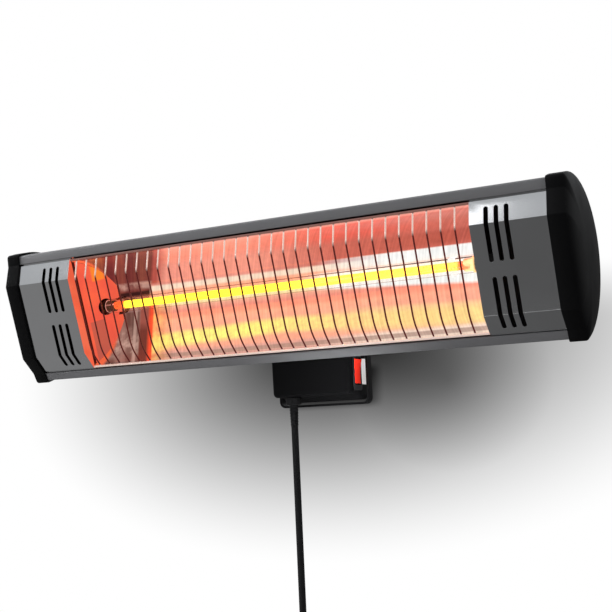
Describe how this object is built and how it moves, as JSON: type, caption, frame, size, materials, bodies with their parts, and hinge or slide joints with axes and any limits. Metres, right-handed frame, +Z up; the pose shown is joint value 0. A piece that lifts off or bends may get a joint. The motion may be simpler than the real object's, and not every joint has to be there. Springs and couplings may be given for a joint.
{
  "type": "electric infrared bar heater",
  "caption": "Wall-hung infrared bar heater: D-shaped metal casing with a glowing quartz tube behind a wire guard, slotted end panels, rear switch box, swing bracket and mains lead.",
  "frame": {"origin": "middle of the outer face of the swing bracket's web, which goes against the wall", "axes": "+X along the casing, towards the switch side; +Y away from the room, towards the back; +Z up. The casing faces -Y and looks down by 18 degrees."},
  "size_m": [0.644, 0.1756, 0.6582],
  "materials": {
    "casing_grey": "satin metallic grey paint",
    "panel_grey": "satin silver-grey paint",
    "black_plastic": "fine-grained black",
    "black_steel": "satin black powder coat",
    "mirror_sheet": "bright rolled",
    "bright_steel": "plain",
    "guard_wire": "bright drawn wire",
    "quartz": "clear, lit from inside",
    "glowing_coil": "red hot",
    "white_ceramic": "unglazed",
    "red_rocker": "glossy",
    "pale_plate": "matt foil, bare",
    "galvanised": "zinc plated",
    "terminal_plastic": "natural",
    "lead_sleeve": "glass-fibre sleeve",
    "black_rubber": "matt",
    "brass_pins": "polished"
  },
  "bodies": {
    "heater": {"box_cover": "black_plastic", "coil_tie": "black_rubber", "control_box": "black_plastic", "cord_coil": "black_rubber", "cord_gland": "black_plastic", "cord_hanging": "black_rubber", "cord_tail": "black_rubber", "cover_screw_1": "bright_steel", "cover_screw_2": "bright_steel", "cover_screw_3": "bright_steel", "cover_screw_4": "bright_steel", "end_cap_left": "black_plastic", "end_cap_right": "black_plastic", "end_cap_screw_left_1": "bright_steel", "end_cap_screw_left_2": "bright_steel", "end_cap_screw_right_1": "bright_steel", "end_cap_screw_right_2": "bright_steel", "filament": "glowing_coil", "front_panel_left": "panel_grey", "front_panel_right": "panel_grey", "grille": "guard_wire", "housing_shell": "casing_grey", "lead_grommet": "black_rubber", "mounting_saddle": "galvanised", "pivot_bush_left": "black_plastic", "pivot_bush_right": "black_plastic", "plug_blade_left": "brass_pins", "plug_blade_right": "brass_pins", "plug_body": "black_plastic", "plug_ground_pin": "brass_pins", "quartz_tube": "quartz", "rating_plate": "pale_plate", "reflector": "mirror_sheet", "reflector_brace_left": "galvanised", "reflector_brace_right": "galvanised", "reflector_end_left": "mirror_sheet", "reflector_end_right": "mirror_sheet", "saddle_screw_1": "bright_steel", "saddle_screw_2": "bright_steel", "switch_body": "black_plastic", "terminal_block": "terminal_plastic", "thermal_cutout": "bright_steel", "tube_clip_left": "bright_steel", "tube_clip_right": "bright_steel", "tube_end_left": "white_ceramic", "tube_end_right": "white_ceramic", "tube_lead_left": "lead_sleeve", "tube_lead_right": "lead_sleeve"},
    "bracket": {"swing_bracket": "black_steel"},
    "rocker": {"switch_rocker": "red_rocker"},
    "clamp_left": {"clamp_knob_left": "black_plastic", "clamp_bolt_left": "bright_steel", "clamp_washer_left": "bright_steel"},
    "clamp_right": {"clamp_knob_right": "black_plastic", "clamp_bolt_right": "bright_steel", "clamp_washer_right": "bright_steel"}
  },
  "joints": [
    {"name": "bracket_swing", "type": "hinge", "parent": "heater", "child": "bracket", "pos_m": [0, 0, 0.1002], "axis": [1, 0, 0], "range_deg": [0, 180]},
    {"name": "rocker_press", "type": "hinge", "parent": "heater", "child": "rocker", "pos_m": [0.04797, -0.0176, 0.0353], "axis": [0, -1, 0], "range_deg": [0, 10]},
    {"name": "clamp_turn_left", "type": "hinge", "parent": "heater", "child": "clamp_left", "pos_m": [0, 0, 0.1002], "axis": [-1, 0, 0], "range_deg": [0, 360]},
    {"name": "clamp_turn_right", "type": "hinge", "parent": "heater", "child": "clamp_right", "pos_m": [0, 0, 0.1002], "axis": [1, 0, 0], "range_deg": [0, 360]}
  ]
}
